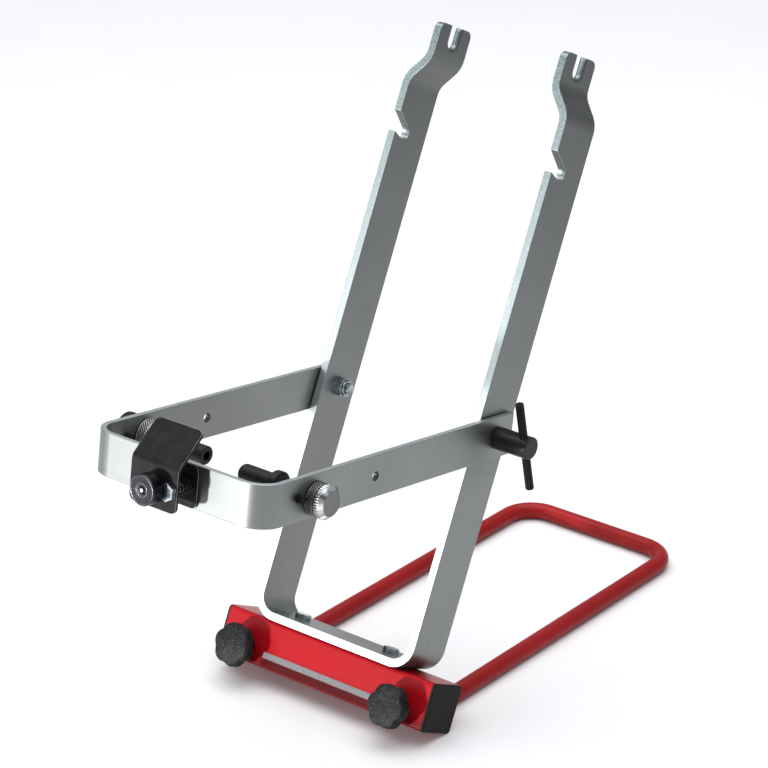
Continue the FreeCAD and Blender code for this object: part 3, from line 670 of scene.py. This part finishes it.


# ---------------------------------------------------------------- finishes for the CAD nodes

# Painted shade: the fork gets darker from a little above its bottom corners up to its upper ends.
fork_heights = [UP.dot(v.co) for v in nodes["fork"].data.vertices]
fork_painted_shade_span = (min(fork_heights) + 60 * MM, max(fork_heights))
beam_top = max(UP.dot(v.co) for v in nodes["base_beam"].data.vertices)
stripe_low = min(UP.dot(v.co) for v in nodes["stripe_decal"].data.vertices)
cap_start, cap_length, cap_radius = x_start("right_knob_cap")
lock_start, _, lock_radius = x_start("left_lock_ring")
dial_axis = Vector(joints["radial_turn"]["pos_m"])
mounts = frame["record"]["mounts"]
spare_holes = [Vector(m["pos_m"]) for m in mounts if m["name"].startswith("spare_hole")]

LOOKS = {
    "beam": red_paint("beam_red", (0.37, 0.004, 0.009), (0.32, 0.004, 0.008), 0.05, beam_top),
    "tube": red_paint("tube_red", (0.33, 0.014, 0.015), (0.24, 0.010, 0.011), 0.30),
    "fork": aluminium("fork_aluminium", (ACROSS, BACK, UP), BACK, (), fork_painted_shade_span),
    "arm": aluminium("arm_aluminium", (ACROSS, ARM_BACK, ARM_UP), ARM_UP, spare_holes),
    "cap": scuffed_cap(),
    "knob": plastic("knob_plastic", (0.006, 0.006, 0.007), (0.16, 0.16, 0.17), 1300, 0.10 * MM, 0.42),
    "sleeve": plastic("sleeve_plastic", (0.006, 0.006, 0.006), (0.03, 0.03, 0.032), 1600,
                      0.02 * MM, 0.30, 0.2),
    "black": black_sheet("black_steel"),
    "handle": black_sheet("handle_steel", 0.25),
    "stud": black_sheet("stud_black", spot=(dial_axis, (ACROSS, ARM_UP), 1.3 * MM)),
    "dial": turned_face("dial_black", dial_axis, (ACROSS, ARM_UP), (0.016, 0.016, 0.018),
                        (0.035, 0.035, 0.04), (0.45, 0.46, 0.47)),
    "zinc": plated("zinc_plate", (0.11, 0.14, 0.15), (0.44, 0.50, 0.52)),
    "bolt": plated("blue_zinc", (0.16, 0.21, 0.26), (0.86, 0.92, 0.95)),
    "bright": turned_face("bright_steel", cap_start, (BACK, UP), (0.12, 0.12, 0.12), (0.21, 0.21, 0.21),
                          (0.93, 0.95, 0.96), (cap_radius - CAP_CHAMFER, cap_radius, CAP_TEETH)),
    # Painted shade: on this bright steel ring the near-black groove colour stands for shade in the grooves.
    "lock": knurl_steel("lock_knurl", lock_start, lock_radius, (0.008, 0.008, 0.008), (0.86, 0.87, 0.88)),
    "grip": knurl_steel("grip_knurl", cap_start, cap_radius, (0.010, 0.010, 0.010), (0.34, 0.34, 0.34)),
    "nylon": plastic("nylon", (0.62, 0.60, 0.55), (0.74, 0.72, 0.68), 900, 0.01 * MM, 0.45, 0.5),
    "print": stripe(stripe_low),
}

FINISH = {
    "base_beam": "beam", "end_cap_left": "cap", "end_cap_right": "cap", "stripe_decal": "print",
    "foot_tube": "tube", "foot_inserts": "zinc", "clamp_stud_left": "zinc", "clamp_stud_right": "zinc",
    "star_knob_left": "knob", "star_knob_right": "knob", "fork": "fork", "fork_bolts": "zinc",
    "fork_nuts": "zinc", "friction_washers": "nylon", "pivot_washer": "zinc", "pivot_bolt": "zinc",
    "pivot_lock_nut": "zinc", "clamp_nut": "zinc", "handle_stud": "zinc", "handle_barrel": "handle",
    "cross_bar": "black", "arm": "arm", "gauge_pins": "black", "left_spindle": "zinc", "left_disc": "sleeve",
    "left_lock_ring": "lock", "left_lock_band": "lock", "left_sleeve": "sleeve", "right_spindle": "zinc",
    "right_feeler": "sleeve", "right_knob_ring": "grip", "right_knob_cap": "bright",
    "radial_back_plate": "black", "radial_front_plate": "black", "radial_stud": "stud",
    "radial_guide_bolt": "bolt", "radial_screw_nut": "zinc", "radial_guide_nut": "zinc",
    "radial_knob": "dial", "radial_spring": "black",
}
for node, look in FINISH.items():
    nodes[node].data.materials.clear()
    nodes[node].data.materials.append(LOOKS[look])

# ---------------------------------------------------------------- detailed pieces

LOBE_ANGLE = {"left": math.radians(50), "right": 0.0}
for side in ("left", "right"):
    turn = joints[f"clamp_{side}_turn"]
    axis = -Vector(turn["axis"])
    on_axis = Vector(turn["pos_m"])
    front, back = reach(f"star_knob_{side}", axis, on_axis)
    start = on_axis + axis * front
    name = f"star_knob_{side}_head"
    knob = star_knob(name, start, axis, 9.5 * MM, 8.5 * MM, back - front, LOBE_ANGLE[side])
    stand_in(knob, f"clamp_knob_{side}", f"star_knob_{side}", LOOKS["knob"])
    front, back = reach(f"clamp_stud_{side}", axis, on_axis)
    start = on_axis + axis * front
    stud = thread(f"clamp_stud_{side}_thread", start, axis, back - front, M8_RADIUS, M8_PITCH)
    stand_in(stud, f"clamp_screw_{side}", f"clamp_stud_{side}", LOOKS["zinc"])

SCREWS = {
    "left_spindle": "left_feeler_screw",
    "right_spindle": "right_feeler_screw",
    "handle_stud": "handle_screw",
}
for node, body in SCREWS.items():
    start, length, radius = x_start(node)
    screw = thread(f"{node}_thread", start, ACROSS, length, radius, M8_PITCH)
    stand_in(screw, body, node, LOOKS["zinc"])

front, back = reach("radial_stud", ARM_BACK, dial_axis)
start = dial_axis + ARM_BACK * front
stud = thread("radial_stud_thread", start, ARM_BACK, back - front, M5_RADIUS, M5_PITCH)
stand_in(stud, "radial_screw", "radial_stud", LOOKS["stud"])

RINGS = {
    "left_lock_ring": ("left_lock", "bright_steel", "lock"),
    "left_lock_band": ("left_lock", "bright_steel", "lock"),
    "right_knob_ring": ("right_feeler", "black_steel", "grip"),
}
for node, (body, slot_name, look) in RINGS.items():
    start, length, radius = x_start(node)
    ring = knurled(f"{node}_knurl", start, length, radius)
    stand_in(ring, body, node, LOOKS[look])

cap = knob_cap("right_knob_cap_knurl", cap_start, cap_length, cap_radius)
stand_in(cap, "right_feeler", "right_knob_cap", LOOKS["bright"])

front, back = reach("radial_knob", ARM_BACK, dial_axis)
knob = dial("radial_knob_dial", dial_axis + ARM_BACK * front, ARM_BACK, back - front)
stand_in(knob, "radial_screw", "radial_knob", LOOKS["dial"])

spring_axis = middle("radial_spring")
front, back = reach("radial_spring", ARM_BACK, spring_axis)
start = spring_axis + ARM_BACK * front
spring = coil("radial_spring_coil", start, ARM_BACK, back - front, 4.05 * MM, 0.6 * MM, 6.5)
stand_in(spring, "arm", "radial_spring", LOOKS["black"])
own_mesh(spring)

# ---------------------------------------------------------------- floor, light and camera

low, high = cad_box
bpy.ops.mesh.primitive_plane_add(size=14, location=(0, 0, low.z))
floor = bpy.context.object
floor.name = "floor"
# The foot always stands on the floor, also when it is slid out of the beam.
floor.parent = frame["bodies"]["foot"]
floor.matrix_parent_inverse = floor.parent.matrix_world.inverted()
floor.data.materials.append(pale_floor())


def soft_light(name, direction, distance, width, height, power, tint=(1, 1, 1), target=(0, 0, 0.18)):
    """Rectangular light, aimed at the stand from a direction."""
    data = bpy.data.lights.new(name, "AREA")
    data.shape = "RECTANGLE"
    data.size, data.size_y = width, height
    data.energy = power
    data.color = tint
    lamp = bpy.data.objects.new(name, data)
    bpy.context.scene.collection.objects.link(lamp)
    way = Vector(direction).normalized()
    lamp.location = Vector(target) + way * distance
    lamp.rotation_mode = "QUATERNION"
    lamp.rotation_quaternion = way.to_track_quat("Z", "Y")


soft_light("overhead", (-0.10, 0.05, 1.0), 2.4, 3.4, 3.4, 84)
soft_light("front_left", (-0.60, -0.80, 0.22), 2.0, 1.4, 1.1, 8, (0.97, 0.99, 1.0))
soft_light("low_key", (-0.30, -0.95, 0.0), 3.0, 0.14, 0.14, 104, (1, 1, 1), (0, 0, 0.07))

world = bpy.data.worlds.new("studio")
world.use_nodes = True
world.node_tree.nodes["Background"].inputs["Color"].default_value = (0.92, 0.95, 1.0, 1)
world.node_tree.nodes["Background"].inputs["Strength"].default_value = 0.45
bpy.context.scene.world = world
bpy.context.scene.view_settings.view_transform = "Standard"

# Solved from the photo: where the camera is, and its tilt and turn in degrees.
CAMERA_FROM_PIVOT = Vector((1.2173, -1.54945, 0.8929))
CAMERA_DOWN, CAMERA_TURN = 23.91, 38.70

camera = bpy.data.objects.new("camera", bpy.data.cameras.new("camera"))
bpy.context.scene.collection.objects.link(camera)
camera.data.lens = 144.4
camera.data.clip_end = 50
camera.location = PIVOT + CAMERA_FROM_PIVOT
camera.rotation_euler = (math.radians(90 - CAMERA_DOWN), 0, math.radians(CAMERA_TURN))
bpy.context.scene.camera = camera
